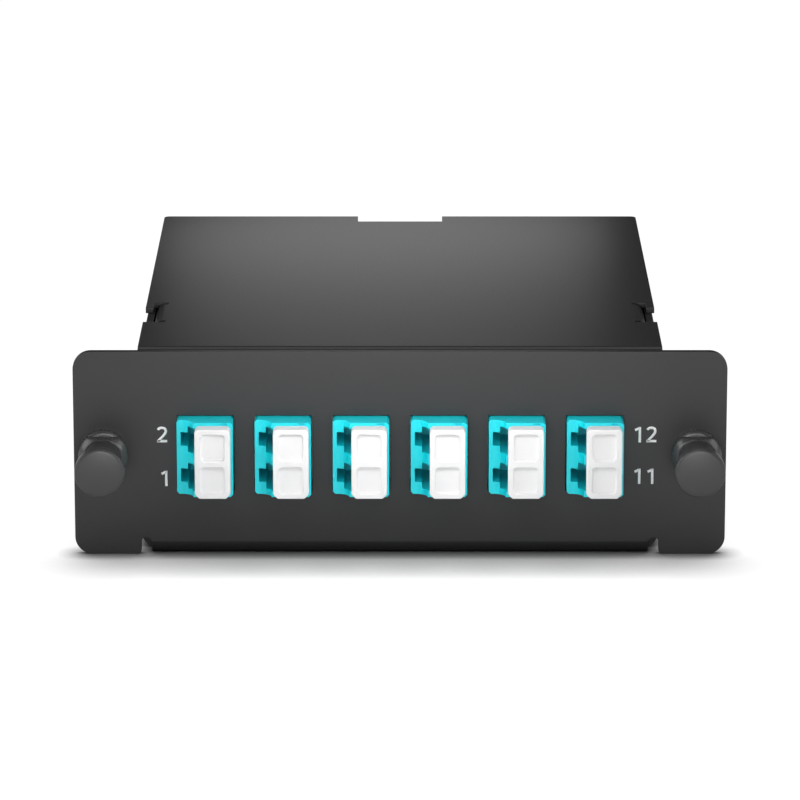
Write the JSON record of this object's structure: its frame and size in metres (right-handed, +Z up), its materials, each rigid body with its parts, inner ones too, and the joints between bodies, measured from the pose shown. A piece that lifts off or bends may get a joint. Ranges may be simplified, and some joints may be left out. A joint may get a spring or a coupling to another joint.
{
  "type": "fibre cassette",
  "caption": "Black rack-panel fibre cassette: duplex LC adapters with dust caps in front, an MPO adapter behind and a push-pull latch in each ear.",
  "frame": {"origin": "on the rear face of the panel's ears, midway between the two latch shanks", "axes": "+Y from the panel towards the rear, +Z up, +X to the right as seen from the front"},
  "size_m": [0.109, 0.1323, 0.035],
  "materials": {
    "powder_coated_steel": "fine-textured satin powder coat",
    "black_zinc_screws": "black zinc",
    "black_nylon_grommet": "moulded, satin",
    "black_nylon_plunger": "moulded, satin",
    "aqua_adapter_plastic": "moulded, smooth",
    "aqua_connector_plastic": "moulded, smooth",
    "beige_connector_plastic": "moulded, smooth",
    "white_cap_plastic": "moulded polyethylene",
    "black_cap_plastic": "moulded, satin",
    "aqua_cord_jacket": "extruded jacket",
    "spring_steel": "rolled stainless",
    "zirconia": "ground ceramic"
  },
  "bodies": {
    "cassette": {"front_tray": "powder_coated_steel", "top_cover": "powder_coated_steel", "cover_screws": "black_zinc_screws", "latch_grommet_left": "black_nylon_grommet", "latch_grommet_right": "black_nylon_grommet", "mpo_adapter": "aqua_adapter_plastic", "mpo_adapter_screws": "black_zinc_screws", "mpo_plug": "aqua_connector_plastic", "fibre_ribbon": "aqua_cord_jacket", "fan_out_block": "black_cap_plastic", "fan_out_stand": "black_nylon_grommet", "lc_tails": "aqua_cord_jacket", "lc_adapter_1": "aqua_adapter_plastic", "adapter_clip_1": "spring_steel", "sleeve_pair_1": "zirconia", "lc_plug_1": "beige_connector_plastic", "lc_adapter_2": "aqua_adapter_plastic", "adapter_clip_2": "spring_steel", "sleeve_pair_2": "zirconia", "lc_plug_2": "beige_connector_plastic", "lc_adapter_3": "aqua_adapter_plastic", "adapter_clip_3": "spring_steel", "sleeve_pair_3": "zirconia", "lc_plug_3": "beige_connector_plastic", "lc_adapter_4": "aqua_adapter_plastic", "adapter_clip_4": "spring_steel", "sleeve_pair_4": "zirconia", "lc_plug_4": "beige_connector_plastic", "lc_adapter_5": "aqua_adapter_plastic", "adapter_clip_5": "spring_steel", "sleeve_pair_5": "zirconia", "lc_plug_5": "beige_connector_plastic", "lc_adapter_6": "aqua_adapter_plastic", "adapter_clip_6": "spring_steel", "sleeve_pair_6": "zirconia", "lc_plug_6": "beige_connector_plastic"},
    "left_plunger": {"latch_plunger_left": "black_nylon_plunger"},
    "right_plunger": {"latch_plunger_right": "black_nylon_plunger"},
    "cap_1": {"dust_cap_1": "white_cap_plastic"},
    "cap_2": {"dust_cap_2": "white_cap_plastic"},
    "cap_3": {"dust_cap_3": "white_cap_plastic"},
    "cap_4": {"dust_cap_4": "white_cap_plastic"},
    "cap_5": {"dust_cap_5": "white_cap_plastic"},
    "cap_6": {"dust_cap_6": "white_cap_plastic"},
    "rear_cap": {"mpo_dust_cap": "black_cap_plastic"}
  },
  "joints": [
    {"name": "left_latch_pull", "type": "slide", "parent": "cassette", "child": "left_plunger", "axis": [0, -1, 0], "range_m": [0, 0.005]},
    {"name": "right_latch_pull", "type": "slide", "parent": "cassette", "child": "right_plunger", "axis": [0, -1, 0], "range_m": [0, 0.005]},
    {"name": "cap_1_pull", "type": "slide", "parent": "cassette", "child": "cap_1", "axis": [0, -1, 0], "range_m": [0, 0.012]},
    {"name": "cap_2_pull", "type": "slide", "parent": "cassette", "child": "cap_2", "axis": [0, -1, 0], "range_m": [0, 0.012]},
    {"name": "cap_3_pull", "type": "slide", "parent": "cassette", "child": "cap_3", "axis": [0, -1, 0], "range_m": [0, 0.012]},
    {"name": "cap_4_pull", "type": "slide", "parent": "cassette", "child": "cap_4", "axis": [0, -1, 0], "range_m": [0, 0.012]},
    {"name": "cap_5_pull", "type": "slide", "parent": "cassette", "child": "cap_5", "axis": [0, -1, 0], "range_m": [0, 0.012]},
    {"name": "cap_6_pull", "type": "slide", "parent": "cassette", "child": "cap_6", "axis": [0, -1, 0], "range_m": [0, 0.012]},
    {"name": "rear_cap_pull", "type": "slide", "parent": "cassette", "child": "rear_cap", "axis": [0, 1, 0], "range_m": [0, 0.012]}
  ]
}
